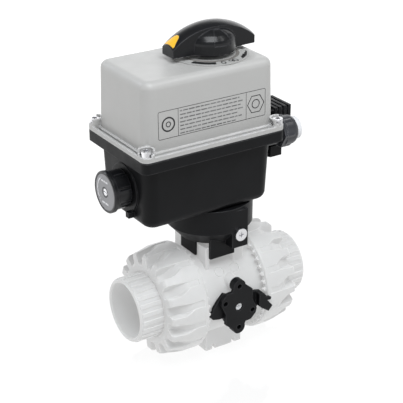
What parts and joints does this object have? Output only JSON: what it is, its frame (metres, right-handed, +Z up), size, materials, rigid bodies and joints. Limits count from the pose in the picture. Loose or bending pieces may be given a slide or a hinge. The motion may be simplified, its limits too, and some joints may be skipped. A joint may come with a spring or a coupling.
{
  "type": "motorized valve actuator",
  "caption": "Quarter-turn electric actuator with manual handle, selector knob, cable gland and plug on a plastic union ball valve.",
  "frame": {"origin": "centre of the foot's underside, below the valve's stem", "axes": "+X along the pipe towards the plug side, +Z up along the stem, -Y towards the front with the union lock"},
  "size_m": [0.19, 0.0999, 0.2977],
  "materials": {
    "valve_white": "satin natural plastic",
    "cover_grey": "satin light grey moulding",
    "housing_black": "satin black moulding",
    "handle_black": "polished black moulding",
    "pointer_yellow": "satin yellow",
    "dial_print": "printed grey",
    "disc_grey": "printed grey",
    "gland_grey": "satin dark grey",
    "insert_white": "matt",
    "stainless": "brushed",
    "brass": "turned",
    "seal_black": "matt",
    "ptfe": "waxy",
    "gear_nylon": "matt",
    "gear_steel": "hobbed",
    "plate_zinc": "zinc plated",
    "bronze": "sintered",
    "board_green": "solder mask",
    "terminal_green": "satin",
    "relay_blue": "satin",
    "cam_red": "satin"
  },
  "bodies": {
    "frame": {"valve_body": "valve_white", "ball_seats": "ptfe", "seat_carrier": "valve_white", "carrier_seal": "seal_black", "union_seals": "seal_black", "end_connector_left": "valve_white", "end_connector_right": "valve_white", "union_nut_left": "valve_white", "union_nut_right": "valve_white", "foot_inserts": "brass", "lock_plate": "housing_black", "lock_screw": "insert_white", "mounting_bracket": "housing_black", "bracket_screws": "stainless", "flange_screws": "stainless", "lower_housing": "housing_black", "upper_cover": "cover_grey", "cover_gasket": "seal_black", "cover_screws": "stainless", "dial_plate": "dial_print", "shaft_seal": "seal_black", "drive_motor": "plate_zinc", "gear_pins": "gear_steel", "gear_plate": "plate_zinc", "gear_plate_pillars": "plate_zinc", "lower_shaft_bush": "bronze", "upper_shaft_bush": "bronze", "limit_switches": "housing_black", "switch_holder": "gear_nylon", "circuit_board": "board_green", "terminal_block": "terminal_green", "board_relays": "relay_blue", "board_capacitor": "housing_black", "selector_seal": "seal_black", "selector_switch": "housing_black", "gland_body": "gland_grey", "gland_nut": "gland_grey", "gland_seal": "insert_white", "connector_base": "housing_black", "connector_gasket": "seal_black", "connector_plug": "housing_black", "connector_nut": "housing_black"},
    "output": {"manual_handle": "handle_black", "handle_pointer": "pointer_yellow", "output_shaft": "gear_steel", "output_gear": "gear_steel", "switch_cams": "cam_red", "stem_coupling": "gear_steel", "valve_stem": "valve_white", "stem_seals": "seal_black", "ball": "valve_white"},
    "second_stage": {"second_stage_gear": "gear_steel"},
    "first_stage": {"first_stage_gear": "gear_nylon"},
    "motor_rotor": {"motor_pinion": "gear_steel"},
    "selector": {"selector_knob": "handle_black", "selector_disc": "disc_grey", "selector_screw": "stainless", "selector_shaft": "gear_steel"},
    "union_lock_lever": {"lock_lever": "housing_black"}
  },
  "joints": [
    {"name": "output_turn", "type": "hinge", "parent": "frame", "child": "output", "pos_m": [0, 0, 0.2], "axis": [0, 0, 1], "range_deg": [0, 90]},
    {"name": "second_stage_spin", "type": "hinge", "parent": "frame", "child": "second_stage", "pos_m": [-0.038, 0, 0.16], "axis": [0, 0, 1], "range_deg": [-399.07, 0]},
    {"name": "first_stage_spin", "type": "hinge", "parent": "frame", "child": "first_stage", "pos_m": [-0.05761, 0.01646, 0.17], "axis": [0, 0, 1], "range_deg": [0, 1423.97]},
    {"name": "motor_spin", "type": "hinge", "parent": "frame", "child": "motor_rotor", "pos_m": [-0.06289, -0.00325, 0.174], "axis": [0, 0, 1], "range_deg": [-5491.02, 0]},
    {"name": "selector_turn", "type": "hinge", "parent": "frame", "child": "selector", "pos_m": [-0.095, -0.002, 0.17], "axis": [1, 0, 0], "range_deg": [0, 90]},
    {"name": "lock_turn", "type": "hinge", "parent": "frame", "child": "union_lock_lever", "pos_m": [0, -0.0438, 0.052], "axis": [0, -1, 0], "range_deg": [0, 15]}
  ],
  "couplings": [
    {"joint": "second_stage_spin", "follows": "output_turn", "ratio": -4.4286},
    {"joint": "first_stage_spin", "follows": "output_turn", "ratio": 15.816},
    {"joint": "motor_spin", "follows": "output_turn", "ratio": -61.006}
  ]
}
